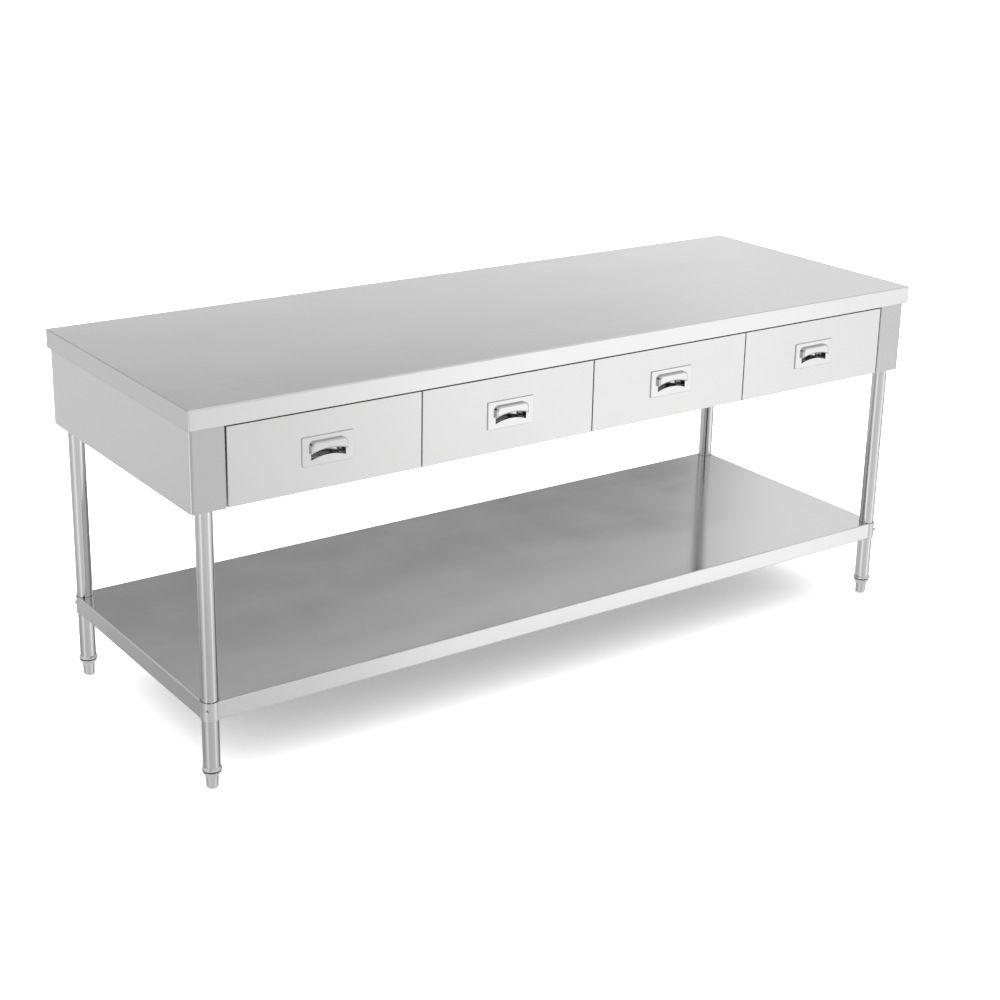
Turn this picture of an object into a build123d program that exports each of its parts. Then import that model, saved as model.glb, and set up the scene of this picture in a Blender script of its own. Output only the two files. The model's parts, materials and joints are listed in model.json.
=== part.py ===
from build123d import *
import math
import os

# Stainless work table: a sheet worktop over a skirt that holds four drawers,
# four tube legs on adjustable feet, and a low shelf clamped to the legs.
# Millimetres. The origin is on the floor under the middle of the worktop,
# +X runs along the length, -Y is the drawer side and +Z is up.

# ---- overall size ----
LENGTH = 2100.0
DEPTH = 750.0
HEIGHT = 880.0

# ---- worktop ----
TOP_SHEET = 1.5
TOP_EDGE = 45.0          # height of the turned-down edge
TOP_CORNER = 4.0         # radius of the edge's upright corners
TOP_BEND = 3.0           # outer radius of the fold along the edge
HEM_HEIGHT = 12.0        # the edge is folded back on itself inside
HEM_THICK = 3.0
BOARD_THICK = 18.0
BOARD_MARGIN = 5.0
CHANNEL_DEPTH = 25.0
CHANNEL_WIDTH = 60.0
CHANNEL_BRIM = 14.0
CHANNEL_TAPER = 4.0
CHANNEL_SHEET = 1.2
CHANNEL_BEND = 2.0
CHANNEL_END = 4.0
CHANNEL_OFFSETS = (-225.0, 0.0, 225.0)

# ---- skirt ----
SKIRT_SHEET = 1.2
SKIRT_BOTTOM = 650.0
SKIRT_BEND = 8.0         # outer radius of the soft upright corners
STILE_BEND = 1.5
SIDE_INSET = 6.0
FRONT_INSET = 12.0
REAR_INSET = 6.0
SKIRT_FLANGE = 12.0
TOP_FLANGE = 15.0
REAR_LAP = 30.0
REAR_END = 2.0
SOCKET_CLEAR = 15.0
RAIL_SETBACK = 11.0
RAIL_DEPTH = 36.0
RAIL_BEND = 2.0
DIVIDER_SHEET = 1.5
DIVIDER_FLANGE = 18.0
DIVIDER_FOOT = 10.0
DIVIDER_SETBACK = 12.0

# ---- drawers ----
DRAWERS = 4
PITCH = 480.0
GAP = 2.4                # between neighbouring drawer fronts
STILE_GAP = 3.5          # between the end fronts and the stiles
FRONT_TOP = 829.0
FRONT_BOTTOM = 651.0
FRONT_THICK = 22.0
FRONT_SHEET = 1.0
FRONT_ROUND = 1.2
FRONT_SCREW_X = (-170.0, 170.0)
FRONT_SCREW_Z = (-45.0, 32.0)
LINER_SHEET = 0.9
LINER_GAP = 0.1
BOX_SHEET = 0.9
BOX_LENGTH = 560.0
BOX_BOTTOM = 664.0
BOX_HEIGHT = 125.0
BOX_HEM = 2.2
BOX_HEM_HEIGHT = 8.0
HOLE_RADIUS = 2.1
HOLE_LENGTH = 8.0
PAN_RADIUS = 3.6
PAN_HEIGHT = 1.8
PAN_ROUND = 0.8
PAN_SHANK = 2.0
FRONT_SCREW_LENGTH = 10.0
RUNNER_SCREW_LENGTH = 4.0

# ---- telescopic runners ----
RUNNER_THICK = 12.7
RUNNER_LENGTH = 550.0
RUNNER_START = 3.0       # behind the drawer front's back
RUNNER_MIDDLE_Z = 726.0
RUNNER_SHEET = 1.2
OUTER_HALF = 22.5        # half heights of the three members
MIDDLE_HALF = 17.7
INNER_HALF = 12.9
OUTER_TIP = 9.5          # reach of the flanges and webs from the divider
MIDDLE_WEB = 2.2
MIDDLE_TIP = 10.5
INNER_TIP = 4.6
MEMBER_BEND = 1.2
RUNNER_SCREW_SHARES = (0.08, 0.5, 0.92)
BALL_RADIUS = 1.75
BALLS_PER_CAGE = 6
CAGE_LENGTH = 290.0
CAGE_END = 2.0
CAGE_HALF_WIDTH = 2.4
CAGE_HALF_THICK = 0.4
OUTER_BALL_DEPTH = 6.4
INNER_BALL_DEPTH = 7.4

# ---- handle ----
PLATE_WIDTH = 128.0
PLATE_HEIGHT = 66.0
PLATE_THICK = 3.0
PLATE_CORNER = 2.5
PLATE_ROUND = 1.2
HOOD_HALF = 45.0
HOOD_TOP = 22.0
HOOD_CORNER = 13.0
HOOD_PROUD = 8.8
HOOD_EDGE = 4.0
HOOD_WALL = 1.8
HOOD_MOUTH = 20.0        # how far the hollow runs on below the lip
LIP_END = -5.0
LIP_RISE = 8.0
SLOT_HALF = 43.0
SLOT_TOP = 14.0
SLOT_END = -20.5
SLOT_CORNER = 6.0
CUP_HALF = 46.0
CUP_TOP = 19.0
CUP_BOTTOM = -24.0
CUP_DEPTH = 18.0
CUP_WALL = 1.0
CUP_ROUND = 4.0
CUP_MARGIN = 1.0         # between the cup and its window in the front

# ---- legs, sockets and feet ----
LEG_RADIUS = 19.05
LEG_WALL = 1.2
LEG_X = 1004.0
LEG_Y = 337.0
LEG_BOTTOM = 52.0
LEG_TOP = 853.0
SOCKET_BORE = 19.25
SOCKET_RADIUS = 21.0
SOCKET_LENGTH = 80.0
SOCKET_PLATE = 3.0
SOCKET_PLATE_DEPTH = 78.0
SOCKET_PLATE_RIM = 2.0
PLATE_STILE_GAP = 3.0
PLATE_SIDE_GAP = 4.0
SCREW_RADIUS = 3.0
HOLE_CLEARANCE = 0.05
RADIAL_HOLE = 20.0
SET_SCREW_LENGTH = 9.0
HEX_SOCKET_RADIUS = 1.6
HEX_SOCKET_DEPTH = 3.0
STUD_RADIUS = 6.0
RUNNING_CLEARANCE = 0.05
TOE_FLAT = 9.0           # foot section, from the floor up
TOE_ROUND = 4.0
BODY_RADIUS = 14.4
STEP_RADIUS = 14.9
STEP_BOTTOM = 27.0
STEP_TOP = 28.5
CONE_RADIUS = 21.0
CONE_TOP = 39.5
FOOT_TOP = 41.0
RING_RADIUS = 22.0
RING_BOTTOM = 44.0
RING_EDGE = 0.8
RING_BAND = 3.0
RING_SEAT = 0.2
INSERT_TOP = 92.0
STUD_TOP = 85.0

# ---- undershelf ----
SHELF_TOP = 210.0
SHELF_SHEET = 1.2
SHELF_FLANGE = 44.0
SHELF_LIP = 12.0
SHELF_BEND = 2.5
SHELF_EDGE = 19.0        # shelf edge beyond the leg centres
COLLAR_BORE = 19.15
COLLAR_RADIUS = 21.5
SHELF_CHANNEL_END = 40.0
CLAMP_HEAD_RADIUS = 5.2
CLAMP_HEAD_HEIGHT = 4.0
CLAMP_HEAD_CHAMFER = 0.6
CLAMP_HEAD_GAP = 1.0
CONTACT_GAP = 0.05

# ---- derived places ----
SIDE_X = LENGTH / 2 - SIDE_INSET
FRONT_Y = -DEPTH / 2 + FRONT_INSET
REAR_Y = DEPTH / 2 - REAR_INSET
BOARD_TOP = HEIGHT - TOP_SHEET
FRAME_TOP = BOARD_TOP - BOARD_THICK
CHANNEL_BOTTOM = FRAME_TOP - CHANNEL_DEPTH
BAY_HALF = DRAWERS * PITCH / 2
STILE_X = BAY_HALF - GAP / 2 + STILE_GAP
FRONT_BACK_Y = FRONT_Y + FRONT_THICK
HANDLE_Z = (FRONT_TOP + FRONT_BOTTOM) / 2
BOX_HALF = PITCH / 2 - DIVIDER_SHEET / 2 - RUNNER_THICK
RUNNER_Y0 = FRONT_BACK_Y + RUNNER_START
RUNNER_Y1 = RUNNER_Y0 + RUNNER_LENGTH
REAR_PANEL_Y = REAR_Y - SKIRT_SHEET
CORNERS = {
    "front_left": (-1, -1),
    "front_right": (1, -1),
    "rear_left": (-1, 1),
    "rear_right": (1, 1),
}


# ---- shared shapes ----
def block(x0, x1, y0, y1, z0, z1):
    """A box given by its two corners."""
    x0, x1 = min(x0, x1), max(x0, x1)
    centre = Pos((x0 + x1) / 2, (y0 + y1) / 2, (z0 + z1) / 2)
    return centre * Box(x1 - x0, y1 - y0, z1 - z0)


def upright(x, y, z0, z1, radius):
    return Pos(x, y, (z0 + z1) / 2) * Cylinder(radius, z1 - z0)


def tube(x, y, z0, z1, radius, bore):
    return upright(x, y, z0, z1, radius) - upright(x, y, z0 - 1, z1 + 1, bore)


def along_x(profile, x0, x1):
    """Extrude a Y-Z profile from x0 to x1."""
    return extrude(Plane.YZ.offset(x0) * profile, amount=x1 - x0)


def along_y(profile, y0, y1):
    """Extrude an X-Z profile from y0 to y1."""
    return extrude(Plane.XZ.offset(-y1) * profile, amount=y1 - y0)


def along_z(profile, z0, z1):
    return extrude(Pos(0, 0, z0) * profile, amount=z1 - z0)


def folded(points, radius, thick):
    """The section of a folded sheet whose middle line runs through the points."""
    return trace(FilletPolyline(*points, radius=radius), thick)


def hat_channel(x0, x1, y, top, depth):
    """A stiffening channel, open upwards, with a brim on each side."""
    half = CHANNEL_WIDTH / 2
    brim_z = top - CHANNEL_SHEET / 2
    crown_z = top - depth + CHANNEL_SHEET / 2
    points = [
        (y - half - CHANNEL_BRIM, brim_z),
        (y - half, brim_z),
        (y - half + CHANNEL_TAPER, crown_z),
        (y + half - CHANNEL_TAPER, crown_z),
        (y + half, brim_z),
        (y + half + CHANNEL_BRIM, brim_z),
    ]
    return along_x(folded(points, CHANNEL_BEND, CHANNEL_SHEET), x0, x1)


def save(node, *shapes):
    solids = [solid for shape in shapes for solid in shape.solids()]
    export_step(Compound(solids), f"parts/{node}.step")


# ---- worktop ----
def worktop():
    """A folded pan: flat top, turned-down edges, folded hem inside the edges."""
    half_x, half_y = LENGTH / 2, DEPTH / 2
    bottom = HEIGHT - TOP_EDGE
    pan = block(-half_x, half_x, -half_y, half_y, bottom, HEIGHT)
    pan = fillet(pan.edges().filter_by(Axis.Z), TOP_CORNER)
    pan = fillet(pan.faces().sort_by(Axis.Z)[-1].edges(), TOP_BEND)
    inner_x, inner_y = half_x - TOP_SHEET, half_y - TOP_SHEET
    inside = block(-inner_x, inner_x, -inner_y, inner_y, bottom + HEM_HEIGHT, BOARD_TOP)
    inside = fillet(inside.edges().filter_by(Axis.Z), TOP_CORNER - TOP_SHEET)
    inside = fillet(inside.faces().sort_by(Axis.Z)[-1].edges(), TOP_BEND - TOP_SHEET)
    mouth_x, mouth_y = half_x - HEM_THICK, half_y - HEM_THICK
    mouth = block(-mouth_x, mouth_x, -mouth_y, mouth_y, bottom - 1, bottom + HEM_HEIGHT + 1)
    mouth = fillet(mouth.edges().filter_by(Axis.Z), TOP_CORNER - TOP_SHEET)
    pan = pan - inside - mouth
    hem_edges = pan.faces().sort_by(Axis.Z)[0].edges()
    return fillet(hem_edges, HEM_THICK / 2 - 0.1)


def worktop_board():
    half_x, half_y = LENGTH / 2 - BOARD_MARGIN, DEPTH / 2 - BOARD_MARGIN
    return block(-half_x, half_x, -half_y, half_y, FRAME_TOP, BOARD_TOP)


def worktop_channels():
    reach = SIDE_X - TOP_FLANGE - CHANNEL_END
    return [hat_channel(-reach, reach, y, FRAME_TOP, CHANNEL_DEPTH) for y in CHANNEL_OFFSETS]


# ---- skirt ----
def side_panel(side):
    """Side skirt wrapped round the front corner into the stile beside the drawers."""
    t = SKIRT_SHEET
    half = t / 2
    face, front, rear = SIDE_X - half, FRONT_Y + half, REAR_Y - half
    stile = STILE_X + half
    points = [
        (side * stile, front + TOP_FLANGE),
        (side * stile, front),
        (side * face, front),
        (side * face, rear),
        (side * (face - REAR_LAP), rear),
    ]
    path = FilletPolyline(*points, radius=(STILE_BEND, SKIRT_BEND - half, SKIRT_BEND - half))
    panel = along_z(trace(path, t), SKIRT_BOTTOM, FRAME_TOP)
    keep_y0, keep_y1 = FRONT_Y + SKIRT_BEND, REAR_Y - SKIRT_BEND
    inner = SIDE_X - t
    panel += block(side * (SIDE_X - TOP_FLANGE), side * inner, keep_y0, keep_y1, FRAME_TOP - t, FRAME_TOP)
    panel += block(
        side * (SIDE_X - SKIRT_FLANGE), side * inner, keep_y0, keep_y1, SKIRT_BOTTOM, SKIRT_BOTTOM + t
    )
    return panel


def rear_panel():
    """Flat rear skirt, lapped inside the side panels' rear returns."""
    half_x = SIDE_X - SKIRT_BEND - REAR_END
    inner = REAR_PANEL_Y - SKIRT_SHEET
    panel = block(-half_x, half_x, inner, REAR_PANEL_Y, SKIRT_BOTTOM, FRAME_TOP)
    reach = LEG_X - SOCKET_RADIUS - SOCKET_CLEAR
    for z0 in (SKIRT_BOTTOM, FRAME_TOP - SKIRT_SHEET):
        panel += block(-reach, reach, REAR_PANEL_Y - TOP_FLANGE, inner, z0, z0 + SKIRT_SHEET)
    return panel


def front_rail():
    """A lipped channel behind the top of the drawer fronts, open to the rear."""
    t = SKIRT_SHEET
    front = FRONT_Y + RAIL_SETBACK + t / 2
    back = front + RAIL_DEPTH
    points = [
        (back, CHANNEL_BOTTOM + t / 2),
        (front, CHANNEL_BOTTOM + t / 2),
        (front, FRAME_TOP - t / 2),
        (back, FRAME_TOP - t / 2),
    ]
    return along_x(folded(points, RAIL_BEND, t), -BAY_HALF, BAY_HALF)


def divider(x):
    """A sheet wall between two drawers, flanged at its top, bottom and rear."""
    half = DIVIDER_SHEET / 2
    away = -1 if x < 0 else 1
    y0, y1 = FRONT_BACK_Y + 1, REAR_PANEL_Y - SKIRT_SHEET
    z0, z1 = BOX_BOTTOM, CHANNEL_BOTTOM
    wall = block(x - half, x + half, y0, y1, z0, z1)
    edge = x + away * half
    flange, foot_edge = edge + away * DIVIDER_FLANGE, edge + away * DIVIDER_FOOT
    y_start = y0 + DIVIDER_SETBACK
    wall += block(edge, flange, y_start, y1, z1 - DIVIDER_SHEET, z1)
    wall += block(edge, foot_edge, y_start, y1, z0, z0 + DIVIDER_SHEET)
    wall += block(edge, flange, y1 - DIVIDER_SHEET, y1, z0, z1)
    return wall


# ---- drawers ----
def drawer_front(x):
    """Outer skin of the double-skinned front: a shallow pan open to the rear."""
    half = (PITCH - GAP) / 2
    s = FRONT_SHEET
    pan = block(x - half, x + half, FRONT_Y, FRONT_BACK_Y, FRONT_BOTTOM, FRONT_TOP)
    pan = fillet(pan.faces().sort_by(Axis.Y)[0].edges(), FRONT_ROUND)
    pan -= block(
        x - half + s, x + half - s, FRONT_Y + s, FRONT_BACK_Y + 1, FRONT_BOTTOM + s, FRONT_TOP - s
    )
    window = CUP_HALF + CUP_MARGIN
    return pan - block(
        x - window, x + window, FRONT_Y - 1, FRONT_Y + 2 * s,
        HANDLE_Z + CUP_BOTTOM - CUP_MARGIN, HANDLE_Z + CUP_TOP + CUP_MARGIN,
    )


def front_screw_places(x):
    return [(x + dx, HANDLE_Z + dz) for dx in FRONT_SCREW_X for dz in FRONT_SCREW_Z]


def hole_along_y(x, y, z):
    return Pos(x, y, z) * Rot(90, 0, 0) * Cylinder(HOLE_RADIUS, HOLE_LENGTH)


def hole_along_x(x, y, z):
    return Pos(x, y, z) * Rot(0, 90, 0) * Cylinder(HOLE_RADIUS, HOLE_LENGTH)


def front_liner(x):
    """Inner skin that closes the front's pan and carries the drawer box."""
    margin = FRONT_SHEET + LINER_GAP
    half = (PITCH - GAP) / 2 - margin
    liner = block(
        x - half, x + half, FRONT_BACK_Y - LINER_SHEET, FRONT_BACK_Y,
        FRONT_BOTTOM + margin, FRONT_TOP - margin,
    )
    for sx, sz in front_screw_places(x):
        liner -= hole_along_y(sx, FRONT_BACK_Y, sz)
    return liner


def drawer_box(x):
    """Open tray welded from five sheets: a bottom, two sides and two ends, hemmed at the rim."""
    s, rim = BOX_SHEET, BOX_HEM
    y0, y1 = FRONT_BACK_Y, FRONT_BACK_Y + BOX_LENGTH
    floor, top = BOX_BOTTOM + s, BOX_BOTTOM + BOX_HEIGHT
    hem = top - BOX_HEM_HEIGHT
    sheets = [block(x - BOX_HALF, x + BOX_HALF, y0, y1, BOX_BOTTOM, floor)]
    for side in (-1, 1):
        outer = x + side * BOX_HALF
        wall = block(outer, outer - side * s, y0, y1, floor, top)
        wall += block(outer, outer - side * rim, y0 + rim, y1 - rim, hem, top)
        for sy in runner_screw_places():
            wall -= hole_along_x(outer, sy, RUNNER_MIDDLE_Z)
        sheets.append(wall)
    half, hem_half = BOX_HALF - s, BOX_HALF - rim
    for y_out, y_in, y_hem in ((y0, y0 + s, y0 + rim), (y1, y1 - s, y1 - rim)):
        end = block(x - half, x + half, *sorted((y_out, y_in)), floor, top)
        end += block(x - hem_half, x + hem_half, *sorted((y_out, y_hem)), hem, top)
        for sx, sz in front_screw_places(x):
            if y_out == y0:
                end -= hole_along_y(sx, y0, sz)
        sheets.append(end)
    return sheets


def handle_outline(half, top, corner, end, rise):
    """Front view of the hood or its slot: round upper corners, arched lower edge."""
    sides = FilletPolyline((half, end), (half, top), (-half, top), (-half, end), radius=corner)
    arch = ThreePointArc((-half, end), (0, end + rise), (half, end))
    return make_face(Curve() + [sides, arch])


def on_front(x, proud):
    """Place a front-view outline on the drawer front, at a height above its face."""
    return Plane(origin=(x, FRONT_Y - proud, HANDLE_Z), x_dir=(1, 0, 0), z_dir=(0, -1, 0))


def handle_plate(x):
    """Raised plate with an arched finger slot into a pressed cup."""
    face = on_front(x, 0)
    plate = extrude(face * RectangleRounded(PLATE_WIDTH, PLATE_HEIGHT, PLATE_CORNER), amount=PLATE_THICK)
    plate = fillet(plate.faces().sort_by(Axis.Y)[0].edges(), PLATE_ROUND)
    z0, z1 = HANDLE_Z + CUP_BOTTOM, HANDLE_Z + CUP_TOP
    w = CUP_WALL
    cup = block(x - CUP_HALF, x + CUP_HALF, FRONT_Y, FRONT_Y + CUP_DEPTH, z0, z1)
    cup = fillet(cup.edges().filter_by(Axis.Y) + cup.faces().sort_by(Axis.Y)[-1].edges(), CUP_ROUND)
    hollow = block(
        x - CUP_HALF + w, x + CUP_HALF - w, FRONT_Y, FRONT_Y + CUP_DEPTH - w, z0 + w, z1 - w
    )
    hollow_edges = hollow.edges().filter_by(Axis.Y) + hollow.faces().sort_by(Axis.Y)[-1].edges()
    hollow = fillet(hollow_edges, CUP_ROUND - w)
    slot = handle_outline(SLOT_HALF, SLOT_TOP, SLOT_CORNER, SLOT_END, LIP_RISE)
    return plate + cup - hollow - extrude(face * slot, amount=PLATE_THICK + 1)


def hood_body(x, inset, end):
    outline = handle_outline(HOOD_HALF - inset, HOOD_TOP - inset, HOOD_CORNER - inset, end, LIP_RISE)
    body = extrude(on_front(x, PLATE_THICK) * outline, amount=HOOD_PROUD - inset)
    rim = body.faces().sort_by(Axis.Y)[0].edges().sort_by(Axis.Z)[1:]
    return fillet(rim, HOOD_EDGE - inset)


def handle_grip(x):
    """Hooded pull, open below, with a lip arched for the fingers."""
    return hood_body(x, 0, LIP_END) - hood_body(x, HOOD_WALL, LIP_END - HOOD_MOUTH)


# ---- runners ----
def runner_screw_places():
    return [RUNNER_Y0 + RUNNER_LENGTH * share for share in RUNNER_SCREW_SHARES]


def runner_base(x, side):
    """The divider face that carries the runner on this side of a drawer."""
    return x + side * (PITCH / 2 - DIVIDER_SHEET / 2)


def member(base, side, web, tip, half):
    """A runner member: a web and two flanges, measured from the divider face."""
    mid = RUNNER_SHEET / 2
    centre = web + mid
    points = [
        (base - side * tip, RUNNER_MIDDLE_Z - half + mid),
        (base - side * centre, RUNNER_MIDDLE_Z - half + mid),
        (base - side * centre, RUNNER_MIDDLE_Z + half - mid),
        (base - side * tip, RUNNER_MIDDLE_Z + half - mid),
    ]
    return along_y(folded(points, MEMBER_BEND, RUNNER_SHEET), RUNNER_Y0, RUNNER_Y1)


def outer_member(x, side):
    return member(runner_base(x, side), side, 0.0, OUTER_TIP, OUTER_HALF)


def middle_member(x, side):
    return member(runner_base(x, side), side, MIDDLE_WEB, MIDDLE_TIP, MIDDLE_HALF)


def inner_member(x, side):
    web = RUNNER_THICK - RUNNER_SHEET
    base = runner_base(x, side)
    profile = member(base, side, web, INNER_TIP, INNER_HALF)
    for sy in runner_screw_places():
        profile -= hole_along_x(base - side * RUNNER_THICK, sy, RUNNER_MIDDLE_Z)
    return profile


def ball_cage(base, side, depth, z, y0):
    """A thin strip with its row of balls."""
    x = base - side * depth
    step = CAGE_LENGTH / BALLS_PER_CAGE
    half_width, half_thick = CAGE_HALF_WIDTH, CAGE_HALF_THICK
    cage = block(x - half_width, x + half_width, y0, y0 + CAGE_LENGTH, z - half_thick, z + half_thick)
    for i in range(BALLS_PER_CAGE):
        cage += Pos(x, y0 + (i + 0.5) * step, z) * Sphere(BALL_RADIUS)
    return cage


def ball_cages(x):
    """Outer rows run behind, inner rows in front, so that both stay in the track."""
    outer_z = (OUTER_HALF - RUNNER_SHEET + MIDDLE_HALF) / 2
    inner_z = (MIDDLE_HALF - RUNNER_SHEET + INNER_HALF) / 2
    outer_y, inner_y = RUNNER_Y1 - CAGE_LENGTH - CAGE_END, RUNNER_Y0 + CAGE_END
    cages = []
    for side in (-1, 1):
        base = runner_base(x, side)
        for up in (-1, 1):
            z_outer = RUNNER_MIDDLE_Z + up * outer_z
            z_inner = RUNNER_MIDDLE_Z + up * inner_z
            cages.append(ball_cage(base, side, OUTER_BALL_DEPTH, z_outer, outer_y))
            cages.append(ball_cage(base, side, INNER_BALL_DEPTH, z_inner, inner_y))
    return cages


def pan_screw(length):
    """A pan-head screw whose shank runs down from the origin."""
    head = Pos(0, 0, PAN_HEIGHT / 2) * Cylinder(PAN_RADIUS, PAN_HEIGHT)
    head = fillet(head.edges().sort_by(Axis.Z)[-1], PAN_ROUND)
    return head + Pos(0, 0, -length / 2) * Cylinder(PAN_SHANK, length)


def drawer_fasteners(x):
    screws = []
    for sx, sz in front_screw_places(x):
        turn = Rot(-90, 0, 0)
        screws.append(Pos(sx, FRONT_BACK_Y + BOX_SHEET, sz) * turn * pan_screw(FRONT_SCREW_LENGTH))
    for side in (-1, 1):
        head_x = runner_base(x, side) - side * (RUNNER_THICK - RUNNER_SHEET)
        turn = Rot(0, side * 90, 0)
        for sy in runner_screw_places():
            screws.append(Pos(head_x, sy, RUNNER_MIDDLE_Z) * turn * pan_screw(RUNNER_SCREW_LENGTH))
    return screws


# ---- legs, sockets and feet ----
def place(corner):
    sx, sy = CORNERS[corner]
    return sx * LEG_X, sy * LEG_Y


def leg(corner):
    x, y = place(corner)
    return tube(x, y, LEG_BOTTOM, LEG_TOP, LEG_RADIUS, LEG_RADIUS - LEG_WALL)


def leg_socket(corner):
    """A stub tube welded under a plate in the skirt's corner."""
    sx, sy = CORNERS[corner]
    x, y = place(corner)
    plate_top = FRAME_TOP - SKIRT_SHEET
    plate_bottom = plate_top - SOCKET_PLATE
    y_edge = sy * (LEG_Y + SOCKET_RADIUS + SOCKET_PLATE_RIM)
    y0, y1 = sorted((y_edge, y_edge - sy * SOCKET_PLATE_DEPTH))
    inner, outer = STILE_X + PLATE_STILE_GAP, SIDE_X - PLATE_SIDE_GAP
    plate = block(sx * inner, sx * outer, y0, y1, plate_bottom, plate_top)
    stub = tube(x, y, plate_bottom - SOCKET_LENGTH, plate_bottom, SOCKET_RADIUS, SOCKET_BORE)
    for angle in set_screw_angles(corner):
        stub -= radial_hole(x, y, plate_bottom - SOCKET_LENGTH / 2, angle)
    return plate + stub


def set_screw_angles(corner):
    """Two screws a right angle apart, on the side that faces into the table."""
    sx, sy = CORNERS[corner]
    return [math.degrees(math.atan2(-sy, 0)), math.degrees(math.atan2(0, -sx))]


def outward_angle(corner):
    sx, sy = CORNERS[corner]
    return math.degrees(math.atan2(sy, sx))


def radial_hole(x, y, z, angle):
    drill = Pos(RADIAL_HOLE, 0, 0) * Rot(0, 90, 0) * Cylinder(SCREW_RADIUS + HOLE_CLEARANCE, RADIAL_HOLE)
    return Pos(x, y, z) * Rot(0, 0, angle) * drill


def set_screw(x, y, z, angle):
    """A grub screw with a hexagon socket, its tip on the leg."""
    length = SET_SCREW_LENGTH
    shank = Pos(0, 0, length / 2) * Cylinder(SCREW_RADIUS, length)
    hexagon = Pos(0, 0, length - HEX_SOCKET_DEPTH) * RegularPolygon(HEX_SOCKET_RADIUS, 6)
    shank -= extrude(hexagon, amount=HEX_SOCKET_DEPTH + 1)
    return Pos(x, y, z) * Rot(0, 0, angle) * Pos(LEG_RADIUS, 0, 0) * Rot(0, 90, 0) * shank


def clamp_screw(x, y, z, angle):
    """A hexagon-headed screw that holds the shelf collar to the leg."""
    reach = COLLAR_RADIUS - LEG_RADIUS + CLAMP_HEAD_GAP
    shank = Pos(0, 0, reach / 2) * Cylinder(SCREW_RADIUS, reach)
    head = extrude(Pos(0, 0, reach) * RegularPolygon(CLAMP_HEAD_RADIUS, 6), amount=CLAMP_HEAD_HEIGHT)
    screw = shank + chamfer(head.edges().group_by(Axis.Z)[-1], CLAMP_HEAD_CHAMFER)
    return Pos(x, y, z) * Rot(0, 0, angle) * Pos(LEG_RADIUS, 0, 0) * Rot(0, 90, 0) * screw


def foot_insert(corner):
    """A plug in the end of the leg, with a flared ring below it and a bore for the stud."""
    x, y = place(corner)
    bore = STUD_RADIUS + RUNNING_CLEARANCE
    plug = LEG_RADIUS - LEG_WALL - CONTACT_GAP
    ring_top = LEG_BOTTOM
    profile = Polyline(
        (bore, RING_BOTTOM),
        (RING_RADIUS - RING_EDGE, RING_BOTTOM),
        (RING_RADIUS, RING_BOTTOM + RING_EDGE),
        (RING_RADIUS, RING_BOTTOM + RING_BAND),
        (LEG_RADIUS + RING_SEAT, ring_top),
        (plug, ring_top),
        (plug, INSERT_TOP),
        (bore, INSERT_TOP),
        close=True,
    )
    return Pos(x, y, 0) * revolve(Plane.XZ * make_face(profile), Axis.Z)


def foot(corner):
    """A bullet foot with a threaded stud: a cone, a step and a rounded toe."""
    x, y = place(corner)
    edge = TOE_FLAT + TOE_ROUND
    diagonal = TOE_ROUND * math.sqrt(0.5)
    outline = Curve() + [
        Line((0, 0), (TOE_FLAT, 0)),
        ThreePointArc((TOE_FLAT, 0), (TOE_FLAT + diagonal, TOE_ROUND - diagonal), (edge, TOE_ROUND)),
        Polyline(
            (edge, TOE_ROUND),
            (BODY_RADIUS, STEP_BOTTOM),
            (STEP_RADIUS, STEP_BOTTOM),
            (STEP_RADIUS, STEP_TOP),
            (CONE_RADIUS, CONE_TOP),
            (CONE_RADIUS, FOOT_TOP),
            (STUD_RADIUS, FOOT_TOP),
            (STUD_RADIUS, STUD_TOP),
            (0, STUD_TOP),
            (0, 0),
        ),
    ]
    return Pos(x, y, 0) * revolve(Plane.XZ * make_face(outline), Axis.Z)


# ---- undershelf ----
def undershelf():
    """A folded pan whose corners are cut round the leg collars."""
    half_x, half_y = LEG_X + SHELF_EDGE, LEG_Y + SHELF_EDGE
    t = SHELF_SHEET
    bottom = SHELF_TOP - SHELF_FLANGE
    pan = block(-half_x, half_x, -half_y, half_y, bottom, SHELF_TOP)
    pan = fillet(pan.faces().sort_by(Axis.Z)[-1].edges(), SHELF_BEND)
    pan = fillet(pan.faces().sort_by(Axis.Z)[0].edges(), SHELF_BEND)
    inside = block(-half_x + t, half_x - t, -half_y + t, half_y - t, bottom + t, SHELF_TOP - t)
    inside = fillet(inside.faces().sort_by(Axis.Z)[-1].edges(), SHELF_BEND - t)
    inside = fillet(inside.faces().sort_by(Axis.Z)[0].edges(), SHELF_BEND - t)
    lip_x, lip_y = half_x - SHELF_LIP, half_y - SHELF_LIP
    pan = pan - inside - block(-lip_x, lip_x, -lip_y, lip_y, bottom - 1, bottom + 2 * t)
    for corner in CORNERS:
        x, y = place(corner)
        pan -= upright(x, y, bottom - 1, SHELF_TOP + 1, COLLAR_RADIUS + CONTACT_GAP)
    return max(pan.solids(), key=lambda solid: solid.volume)


def undershelf_channels():
    reach = LEG_X - SHELF_CHANNEL_END
    top = SHELF_TOP - SHELF_SHEET
    return [hat_channel(-reach, reach, y, top, CHANNEL_DEPTH) for y in CHANNEL_OFFSETS]


def leg_collar(corner):
    x, y = place(corner)
    bottom = SHELF_TOP - SHELF_FLANGE
    collar = tube(x, y, bottom, SHELF_TOP, COLLAR_RADIUS, COLLAR_BORE)
    middle = SHELF_TOP - SHELF_FLANGE / 2
    return collar - radial_hole(x, y, middle, outward_angle(corner))


# ---- write every node ----
os.makedirs("parts", exist_ok=True)

save("worktop", worktop())
save("worktop_board", worktop_board())
save("worktop_channels", *worktop_channels())
save("left_side_panel", side_panel(-1))
save("right_side_panel", side_panel(1))
save("rear_panel", rear_panel())
save("front_rail", front_rail())

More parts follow.
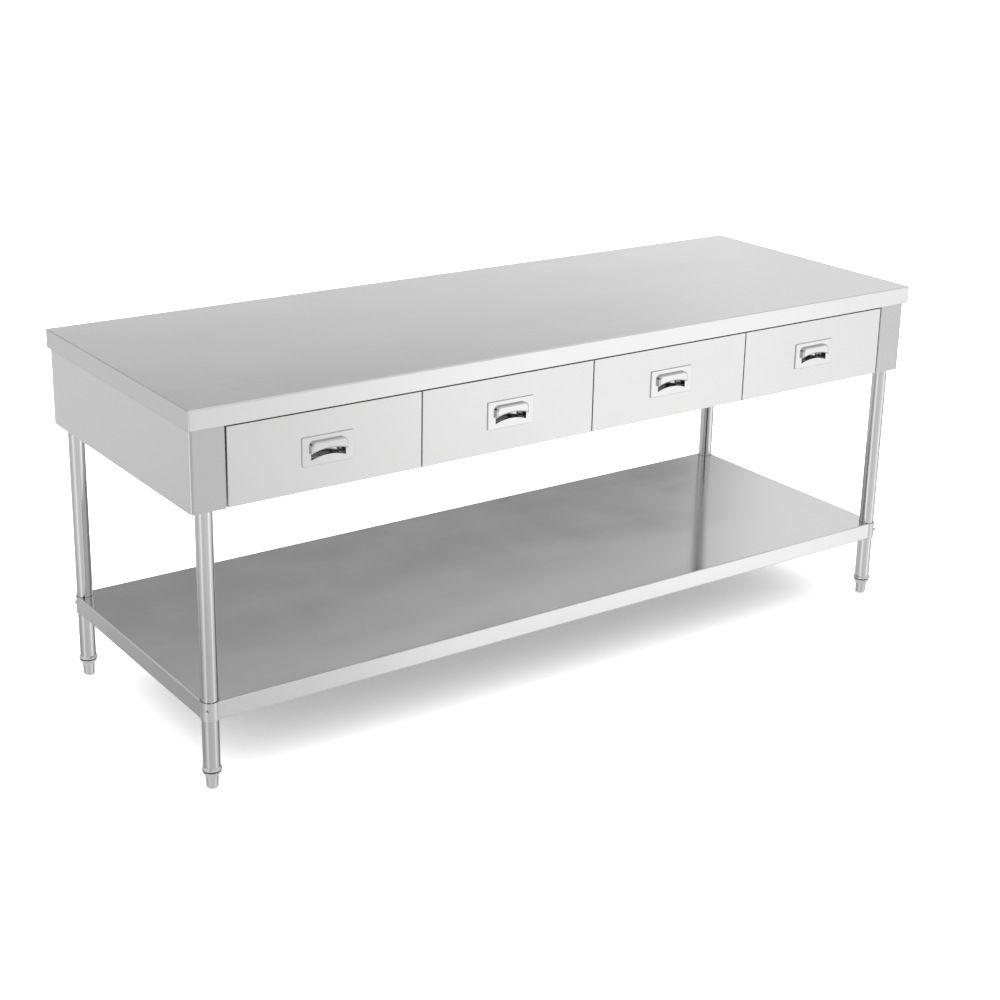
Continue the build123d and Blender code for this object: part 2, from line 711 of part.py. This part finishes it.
divider_places = [-BAY_HALF + i * PITCH for i in range(DRAWERS + 1)]
save("drawer_dividers", *[divider(x) for x in divider_places])

drawer_places = [-BAY_HALF + (i + 0.5) * PITCH for i in range(DRAWERS)]
save("runner_outer_members", *[outer_member(x, side) for x in drawer_places for side in (-1, 1)])

for number, x in enumerate(drawer_places, start=1):
    save(f"drawer_{number}_front", drawer_front(x))
    save(f"drawer_{number}_front_liner", front_liner(x))
    save(f"drawer_{number}_box", *drawer_box(x))
    save(f"drawer_{number}_handle_plate", handle_plate(x))
    save(f"drawer_{number}_handle_grip", handle_grip(x))
    save(f"drawer_{number}_runner_inner", inner_member(x, -1), inner_member(x, 1))
    save(f"drawer_{number}_runner_middle", middle_member(x, -1), middle_member(x, 1))
    save(f"drawer_{number}_ball_cages", *ball_cages(x))
    save(f"drawer_{number}_fasteners", *drawer_fasteners(x))

for corner in CORNERS:
    save(f"leg_{corner}", leg(corner))
    save(f"foot_{corner}", foot(corner))

socket_screw_z = FRAME_TOP - SKIRT_SHEET - SOCKET_PLATE - SOCKET_LENGTH / 2
clamp_screw_z = SHELF_TOP - SHELF_FLANGE / 2
save("leg_sockets", *[leg_socket(corner) for corner in CORNERS])
save("socket_set_screws", *[
    set_screw(*place(corner), socket_screw_z, angle)
    for corner in CORNERS for angle in set_screw_angles(corner)
])
save("foot_inserts", *[foot_insert(corner) for corner in CORNERS])
save("undershelf", undershelf())
save("undershelf_channels", *undershelf_channels())
save("leg_clamps", *[leg_collar(corner) for corner in CORNERS])
save("clamp_screws", *[
    clamp_screw(*place(corner), clamp_screw_z, outward_angle(corner)) for corner in CORNERS
])
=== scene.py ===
import json
import math

import bpy
from mathutils import Matrix, Vector


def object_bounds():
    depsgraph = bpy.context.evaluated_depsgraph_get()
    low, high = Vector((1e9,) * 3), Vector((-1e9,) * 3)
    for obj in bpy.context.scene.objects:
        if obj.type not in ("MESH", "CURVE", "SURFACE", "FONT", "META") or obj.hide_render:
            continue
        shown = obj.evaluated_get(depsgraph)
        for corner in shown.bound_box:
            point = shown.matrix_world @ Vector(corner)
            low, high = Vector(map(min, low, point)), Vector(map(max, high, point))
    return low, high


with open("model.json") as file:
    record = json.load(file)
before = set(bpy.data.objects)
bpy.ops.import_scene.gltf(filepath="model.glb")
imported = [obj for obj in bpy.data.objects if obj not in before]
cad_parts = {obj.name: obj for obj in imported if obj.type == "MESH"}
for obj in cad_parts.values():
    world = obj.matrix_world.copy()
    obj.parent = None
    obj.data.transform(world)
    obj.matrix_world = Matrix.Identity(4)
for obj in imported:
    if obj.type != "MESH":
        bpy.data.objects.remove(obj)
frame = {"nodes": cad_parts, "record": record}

cad_low, cad_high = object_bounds()
scene = bpy.context.scene


# ---- small helpers for node trees ----
class Tree:
    """A node tree with short calls for the nodes that the finishes share."""

    def __init__(self, tree):
        self.tree = tree
        self.tree.nodes.clear()

    def node(self, kind, **settings):
        made = self.tree.nodes.new(kind)
        for name, value in settings.items():
            setattr(made, name, value)
        return made

    def feed(self, socket, value):
        if isinstance(value, bpy.types.NodeSocket):
            self.tree.links.new(value, socket)
        elif value is not None:
            socket.default_value = value

    def math(self, operation, a, b=None, clamp=False):
        made = self.node("ShaderNodeMath", operation=operation, use_clamp=clamp)
        self.feed(made.inputs[0], a)
        self.feed(made.inputs[1], b)
        return made.outputs[0]

    def vector(self, operation, a, b=None):
        made = self.node("ShaderNodeVectorMath", operation=operation)
        self.feed(made.inputs[0], a)
        self.feed(made.inputs[1], b)
        return made.outputs["Value"] if operation == "DOT_PRODUCT" else made.outputs[0]

    def ramp(self, value, low, high, to_low, to_high, smooth=False):
        made = self.node("ShaderNodeMapRange")
        if smooth:
            made.interpolation_type = "SMOOTHSTEP"
        for socket, v in zip(made.inputs, (value, low, high, to_low, to_high)):
            self.feed(socket, v)
        return made.outputs[0]

    def between(self, value, a, b, c, d):
        """One from b to c, zero before a and after d."""
        rise = self.ramp(value, a, b, 0.0, 1.0, smooth=True)
        return self.math("MULTIPLY", rise, self.ramp(value, c, d, 1.0, 0.0, smooth=True))

    def mix(self, factor, a, b):
        made = self.node("ShaderNodeMix", data_type="FLOAT")
        self.feed(made.inputs[0], factor)
        self.feed(made.inputs[2], a)
        self.feed(made.inputs[3], b)
        return made.outputs[0]

    def mix_vector(self, factor, a, b):
        made = self.node("ShaderNodeMix", data_type="VECTOR")
        self.feed(made.inputs[0], factor)
        self.feed(made.inputs[4], a)
        self.feed(made.inputs[5], b)
        return made.outputs[1]

    def steps(self, value, stops, top=2.0):
        """A smooth curve through (value, level) stops, with values from 0 to 1 and levels up to top."""
        made = self.node("ShaderNodeValToRGB")
        ramp = made.color_ramp
        ramp.interpolation = "EASE"
        while len(ramp.elements) < len(stops):
            ramp.elements.new(1.0)
        for element, (position, level) in zip(ramp.elements, stops):
            element.position = position
            element.color = (level / top, level / top, level / top, 1.0)
        self.feed(made.inputs[0], value)
        return self.math("MULTIPLY", made.outputs[0], top)

    def noise(self, place, scale, detail=2.0, rough=0.5):
        made = self.node("ShaderNodeTexNoise")
        self.feed(made.inputs["Vector"], place)
        self.feed(made.inputs["Scale"], scale)
        self.feed(made.inputs["Detail"], detail)
        self.feed(made.inputs["Roughness"], rough)
        return made.outputs["Fac"]


# ---- finishes ----
ALONG = {"x": (1.0, 0.0, 0.0), "y": (0.0, 1.0, 0.0), "z": (0.0, 0.0, 1.0)}
LINE_SQUEEZE = 0.004     # scale of a coordinate along a brush line, beside 1 across it
SIDE_FACE = 0.8          # a face looks along X when its normal's X is past this
PAINTED_SHADE_FACING = 0.7         # and along Y, the faces that get the painted shade, when its normal's Y is past this
FINE_SHARE, BROAD_SHARE = 0.6, 0.4
BROAD_LINES = 0.16       # scale of the broad brush lines beside the fine ones
BLOTCH_SCALE = 5.5
SWELL_SCALE, SWELL_DRAW = 3.2, (0.5, 1.0, 1.0)
TONE_BY_BRUSH, TONE_BY_BLOTCH = 0.16, 0.07
GLOSS_BY_BRUSH, GLOSS_BY_BLOTCH = 0.22, 0.14
BRUSH_BUMP, BRUSH_DEPTH = 0.25, 0.00003


def stretched(direction):
    """Scale of a coordinate that draws noise out into lines along a direction."""
    return tuple(LINE_SQUEEZE if v else 1.0 for v in ALONG[direction])


def metal(name, tint, rough, grain="x", lines=0.5, cloud=0.5, wave=0.0, stretch=0.5, fine=900.0, front_painted_shade=1.0):
    """Brushed or rolled metal. The lines run along the grain; with an X grain they run along Y on faces
    that look along X. lines and cloud are how strong the brushing and the blotches are, and wave is
    how deep the unevenness is. stretch draws the gloss out, fine is the scale of the finest lines,
    and the last argument is how pale the faces that look along Y are beside the others: painted shade."""
    material = bpy.data.materials.new(name)
    material.use_nodes = True
    t = Tree(material.node_tree)
    out = t.node("ShaderNodeOutputMaterial")
    shader = t.node("ShaderNodeBsdfPrincipled")
    t.feed(out.inputs["Surface"], shader.outputs[0])
    coords = t.node("ShaderNodeTexCoord")
    place, facing = coords.outputs["Object"], coords.outputs["Normal"]
    split = t.node("ShaderNodeSeparateXYZ")
    t.feed(split.inputs[0], facing)
    sideways = t.math("GREATER_THAN", t.math("ABSOLUTE", split.outputs[0]), SIDE_FACE)

    first = t.vector("MULTIPLY", place, stretched(grain))
    if grain == "x":
        second = t.vector("MULTIPLY", place, stretched("y"))
        lined = t.mix_vector(sideways, first, second)
        run = t.mix_vector(sideways, ALONG["x"], ALONG["y"])
    else:
        lined, run = first, ALONG[grain]
    fine_lines = t.noise(lined, fine, 3.0, 0.6)
    broad_lines = t.noise(lined, fine * BROAD_LINES, 2.0, 0.5)
    blotches = t.noise(place, BLOTCH_SCALE, 3.0, 0.55)
    swell = t.noise(t.vector("MULTIPLY", place, SWELL_DRAW), SWELL_SCALE, 1.0, 0.4)

    brush = t.math("ADD", t.math("MULTIPLY", fine_lines, FINE_SHARE),
                   t.math("MULTIPLY", broad_lines, BROAD_SHARE))
    brush_off = t.math("SUBTRACT", brush, 0.5)
    cloud_off = t.math("SUBTRACT", blotches, 0.5)
    value = t.math("ADD", t.math("MULTIPLY", brush_off, TONE_BY_BRUSH * lines), 1.0)
    value = t.math("ADD", value, t.math("MULTIPLY", cloud_off, TONE_BY_BLOTCH * cloud))
    # painted shade: the tint of the faces that look along Y is scaled by the last argument to darken them
    if front_painted_shade != 1.0:
        painted_shade_mask = t.math("GREATER_THAN", t.math("ABSOLUTE", split.outputs[1]), PAINTED_SHADE_FACING)
        value = t.math("MULTIPLY", value, t.mix(painted_shade_mask, 1.0, front_painted_shade))
    colour = t.vector("SCALE", tint)
    scaled = colour.node
    t.feed(scaled.inputs["Scale"], value)
    t.feed(shader.inputs["Base Color"], colour)
    gloss = t.math("ADD", t.math("MULTIPLY", brush_off, GLOSS_BY_BRUSH * lines), rough)
    gloss = t.math("ADD", gloss, t.math("MULTIPLY", cloud_off, GLOSS_BY_BLOTCH * cloud), clamp=True)
    t.feed(shader.inputs["Roughness"], gloss)
    shader.inputs["Metallic"].default_value = 1.0
    shader.inputs["Anisotropic"].default_value = stretch
    geometry = t.node("ShaderNodeNewGeometry")
    across = t.vector("NORMALIZE", t.vector("CROSS_PRODUCT", run, geometry.outputs["Normal"]))
    t.feed(shader.inputs["Tangent"], across)

    bump = t.node("ShaderNodeBump")
    t.feed(bump.inputs["Strength"], BRUSH_BUMP * lines)
    t.feed(bump.inputs["Distance"], BRUSH_DEPTH)
    t.feed(bump.inputs["Height"], fine_lines)
    normal = bump.outputs[0]
    if wave:
        uneven = t.node("ShaderNodeBump")
        t.feed(uneven.inputs["Strength"], 1.0)
        t.feed(uneven.inputs["Distance"], wave)
        t.feed(uneven.inputs["Height"], swell)
        t.feed(uneven.inputs["Normal"], normal)
        normal = uneven.outputs[0]
    t.feed(shader.inputs["Normal"], normal)
    return material


FLAKE_SCALE = 260.0
DARK_FLAKE, PALE_FLAKE = (0.36, 0.25, 0.15, 1.0), (0.66, 0.52, 0.35, 1.0)
DULLNESS = (0.5, 0.75)
FLAKE_BUMP, FLAKE_DEPTH = 0.3, 0.0002


def board(name):
    """Sealed chipboard: pressed flakes in browns with a dull face."""
    material = bpy.data.materials.new(name)
    material.use_nodes = True
    t = Tree(material.node_tree)
    out = t.node("ShaderNodeOutputMaterial")
    shader = t.node("ShaderNodeBsdfPrincipled")
    t.feed(out.inputs["Surface"], shader.outputs[0])
    place = t.node("ShaderNodeTexCoord").outputs["Object"]
    flakes = t.node("ShaderNodeTexVoronoi")
    t.feed(flakes.inputs["Vector"], place)
    t.feed(flakes.inputs["Scale"], FLAKE_SCALE)
    tone = t.node("ShaderNodeValToRGB")
    tone.color_ramp.elements[0].color = DARK_FLAKE
    tone.color_ramp.elements[1].color = PALE_FLAKE
    t.feed(tone.inputs[0], flakes.outputs["Color"])
    t.feed(shader.inputs["Base Color"], tone.outputs[0])
    t.feed(shader.inputs["Roughness"], t.ramp(t.noise(place, 90.0), 0.0, 1.0, *DULLNESS))
    bump = t.node("ShaderNodeBump")
    t.feed(bump.inputs["Strength"], FLAKE_BUMP)
    t.feed(bump.inputs["Distance"], FLAKE_DEPTH)
    t.feed(bump.inputs["Height"], flakes.outputs["Distance"])
    t.feed(shader.inputs["Normal"], bump.outputs[0])
    return material


STAINLESS = (0.68, 0.68, 0.677)
PLAIN_STEEL = (0.68, 0.68, 0.68)
DARK_STEEL = (0.66, 0.66, 0.66)
ZINC = (0.60, 0.61, 0.62)
finishes = {
    "top_sheet": metal("top_sheet", STAINLESS, 0.21, lines=0.6, cloud=0.7, wave=0.0008, stretch=0.4),
    # the skirt sheet's faces that look along Y carry 0.70 of its tint: painted shade
    "skirt_sheet": metal("skirt_sheet", (0.78, 0.78, 0.777), 0.35, lines=0.3, cloud=0.6, wave=0.0005,
                         front_painted_shade=0.70),
    "shelf_sheet": metal("shelf_sheet", STAINLESS, 0.12, lines=0.2, cloud=0.6, wave=0.0012, stretch=0.4),
    "drawer_sheet": metal("drawer_sheet", (0.66, 0.66, 0.657), 0.25, lines=0.5, cloud=0.7, wave=0.0005),
    "drawer_liner": metal("drawer_liner", PLAIN_STEEL, 0.36, lines=0.5),
    "box_sheet": metal("box_sheet", PLAIN_STEEL, 0.32, lines=0.5),
    "frame_sheet": metal("frame_sheet", ZINC, 0.42, lines=0.3, cloud=1.4, stretch=0.0),
    "runner": metal("runner", ZINC, 0.26, grain="y", lines=0.6, cloud=0.8),
    "ball_cage": metal("ball_cage", ZINC, 0.20, grain="y", lines=0.2, stretch=0.0),
    "board": board("board"),
    "leg_tube": metal("leg_tube", (0.64, 0.64, 0.637), 0.08, grain="z", lines=0.5, cloud=0.4, stretch=0.0),
    "socket": metal("socket", DARK_STEEL, 0.34, grain="z", lines=0.5),
    "clamp": metal("clamp", STAINLESS, 0.28, grain="z", lines=0.6, cloud=1.0),
    "foot": metal("foot", STAINLESS, 0.24, grain="z", lines=0.3, cloud=0.8, stretch=0.0),
    "handle": metal("handle", (0.63, 0.63, 0.627), 0.12, lines=0.3, cloud=0.6),
    "screw": metal("screw", DARK_STEEL, 0.28, lines=0.2, stretch=0.0),
}

for part in frame["record"]["subparts"]:
    node = frame["nodes"][part["node"]]
    node.data.materials.clear()
    node.data.materials.append(finishes[part["material_slot"]])

# ---- floor ----
FLOOR_HALF = 60.0
FLOOR_GAP = 0.0005       # so that the floor and the feet don't share a plane
PALE = (0.93, 0.93, 0.93, 1.0)
floor_mesh = bpy.data.meshes.new("floor")
corners = [(x * FLOOR_HALF, y * FLOOR_HALF) for x, y in ((-1, -1), (1, -1), (1, 1), (-1, 1))]
floor_mesh.from_pydata([(x, y, cad_low.z - FLOOR_GAP) for x, y in corners], [], [(0, 1, 2, 3)])
floor = bpy.data.objects.new("floor", floor_mesh)
scene.collection.objects.link(floor)
floor_paint = bpy.data.materials.new("floor_paint")
floor_paint.use_nodes = True
paint = floor_paint.node_tree.nodes["Principled BSDF"]
paint.inputs["Base Color"].default_value = PALE
paint.inputs["Roughness"].default_value = 0.9
paint.inputs["Specular IOR Level"].default_value = 0.0
floor_mesh.materials.append(floor_paint)
floor.visible_glossy = False
floor.visible_shadow = False

# ---- light: a pale studio with grey bands for the sheets to mirror ----
# The surroundings aren't even. The bands are set for how the sheets look from the camera below.
# Bearings are in degrees from +Y towards +X, and heights are a direction's z, from -1 down to 1 up.
FULL_TURN = 360.0
STUDIO_GREY = (0.8, 0.8, 0.8, 1.0)
SEAMLESS = 1.3           # strength that the camera sees past the floor's edge
LOW_LIGHT = ((0, 0.90), (30, 0.45), (60, 0.26), (85, 0.45), (108, 1.05), (127, 1.38), (137, 1.75),
             (145, 1.78), (152, 1.28), (159, 1.12), (190, 1.04), (216, 0.95), (234, 1.05), (250, 1.60),
             (264, 1.20), (282, 0.95), (305, 0.80), (332, 0.92), (360, 0.90))    # below the horizon
BEHIND = ((0.0, 1.2), (0.205, 1.47), (0.225, 1.38), (0.25, 1.12), (0.275, 0.70), (0.30, 0.40),
          (0.34, 0.40), (0.40, 0.41), (0.60, 0.55), (0.85, 1.0))                 # above it, by height
HORIZON = (-0.06, 0.06)
DEEP = (-0.44, -0.35)
DEEP_LEVEL, DEEP_LEFT_LEVEL = 0.79, 0.60
NADIR, NADIR_LEVEL = (-0.75, -0.40), 0.9
LEFT_REAR = (280.0, 300.0, 396.0, 432.0)       # its far end is past a full turn, so it never closes
ABOVE_EDGE = (0.083, -0.50, 0.862)             # normal of the plane where the overhead light begins
EDGE_BLUR = (-0.003, 0.035)
RISING, RISING_LEVELS = (0.42, 0.85), (0.95, 1.25)
PALE_SIDE, PALE_LEVEL = (41.0, 45.0, 55.0, 76.0), 1.14
LEFT_WALL, LEFT_WALL_TOP, LEFT_WALL_LEVEL = (285.0, 297.0, 332.0, 350.0), (0.45, 0.60), 0.85
DARK_PANEL, DARK_PANEL_LEVEL = (200.0, 212.0, 224.0, 236.0), 0.04
DARK_PANEL_HEIGHTS = (0.10, 0.16, 0.42, 0.50)


def bearings(w, turn, band):
    """One across a band of bearings, with soft ends."""
    return w.between(turn, *(degrees / FULL_TURN for degrees in band))


world = bpy.data.worlds.new("studio")
scene.world = world
world.use_nodes = True
w = Tree(world.node_tree)
world_out = w.node("ShaderNodeOutputWorld")
sky = w.node("ShaderNodeBackground")
w.feed(sky.inputs["Color"], STUDIO_GREY)
w.feed(world_out.inputs[0], sky.outputs[0])
direction = w.node("ShaderNodeTexCoord").outputs["Generated"]
up = w.node("ShaderNodeSeparateXYZ")
w.feed(up.inputs[0], direction)
height = up.outputs[2]
bearing = w.math("ARCTAN2", up.outputs[0], up.outputs[1])
turn = w.math("FRACT", w.math("DIVIDE", bearing, 2.0 * math.pi))

low_light = w.steps(turn, [(degrees / FULL_TURN, level) for degrees, level in LOW_LIGHT])
deep_level = w.mix(bearings(w, turn, LEFT_REAR), DEEP_LEVEL, DEEP_LEFT_LEVEL)
above_deep = w.ramp(height, *DEEP, 0.0, 1.0, smooth=True)
low_light = w.math("MULTIPLY", low_light, w.mix(above_deep, deep_level, 1.0))
low_light = w.mix(w.ramp(height, *NADIR, 1.0, 0.0, smooth=True), low_light, NADIR_LEVEL)

overhead_part = w.ramp(w.vector("DOT_PRODUCT", direction, ABOVE_EDGE), *EDGE_BLUR, 0.0, 1.0, smooth=True)
rising = w.ramp(height, *RISING, *RISING_LEVELS, smooth=True)
high_light = w.mix(overhead_part, w.steps(height, BEHIND), rising)
high_light = w.mix(bearings(w, turn, PALE_SIDE), high_light, PALE_LEVEL)
below_top = w.ramp(height, *LEFT_WALL_TOP, 1.0, 0.0, smooth=True)
left_wall = w.math("MULTIPLY", bearings(w, turn, LEFT_WALL), below_top)
high_light = w.mix(left_wall, high_light, LEFT_WALL_LEVEL)
dark_panel = w.math("MULTIPLY", bearings(w, turn, DARK_PANEL), w.between(height, *DARK_PANEL_HEIGHTS))
high_light = w.mix(dark_panel, high_light, DARK_PANEL_LEVEL)

strength = w.mix(w.ramp(height, *HORIZON, 0.0, 1.0, smooth=True), low_light, high_light)
seen = w.node("ShaderNodeLightPath")
w.feed(sky.inputs["Strength"], w.mix(seen.outputs["Is Camera Ray"], strength, SEAMLESS))

SUN_STRENGTH = 5.0
SUN_SPREAD = 160.0       # degrees: as soft as a whole pale ceiling
sun_data = bpy.data.lights.new("overhead", "SUN")
sun_data.energy = SUN_STRENGTH
sun_data.angle = math.radians(SUN_SPREAD)
overhead = bpy.data.objects.new("overhead", sun_data)
overhead.visible_glossy = False
scene.collection.objects.link(overhead)

# ---- camera ----
CAMERA_PLACE = Vector((-2.5522, -3.5566, 1.9895))
AZIMUTH, ELEVATION, ROLL = -35.572, 18.148, 1.216        # degrees
FOCAL_LENGTH, SENSOR = 65.088, 36.0                      # millimetres
LENS_SHIFT = -0.07       # of the frame's width
FARTHEST = 200.0
a, e = math.radians(AZIMUTH), math.radians(ELEVATION)
back = Vector((math.sin(a) * math.cos(e), -math.cos(a) * math.cos(e), math.sin(e)))
level_right = Vector((0.0, 0.0, 1.0)).cross(back).normalized()
level_up = back.cross(level_right)
roll = math.radians(ROLL)
right = level_right * math.cos(roll) + level_up * math.sin(roll)
camera_up = back.cross(right)
camera_data = bpy.data.cameras.new("camera")
camera_data.sensor_width = SENSOR
camera_data.lens = FOCAL_LENGTH
camera_data.shift_y = LENS_SHIFT
camera_data.clip_end = FARTHEST
camera = bpy.data.objects.new("camera", camera_data)
facing = Matrix((right, camera_up, back)).transposed()
camera.matrix_world = Matrix.Translation(CAMERA_PLACE) @ facing.to_4x4()
scene.collection.objects.link(camera)
scene.camera = camera
scene.view_settings.view_transform = "Standard"
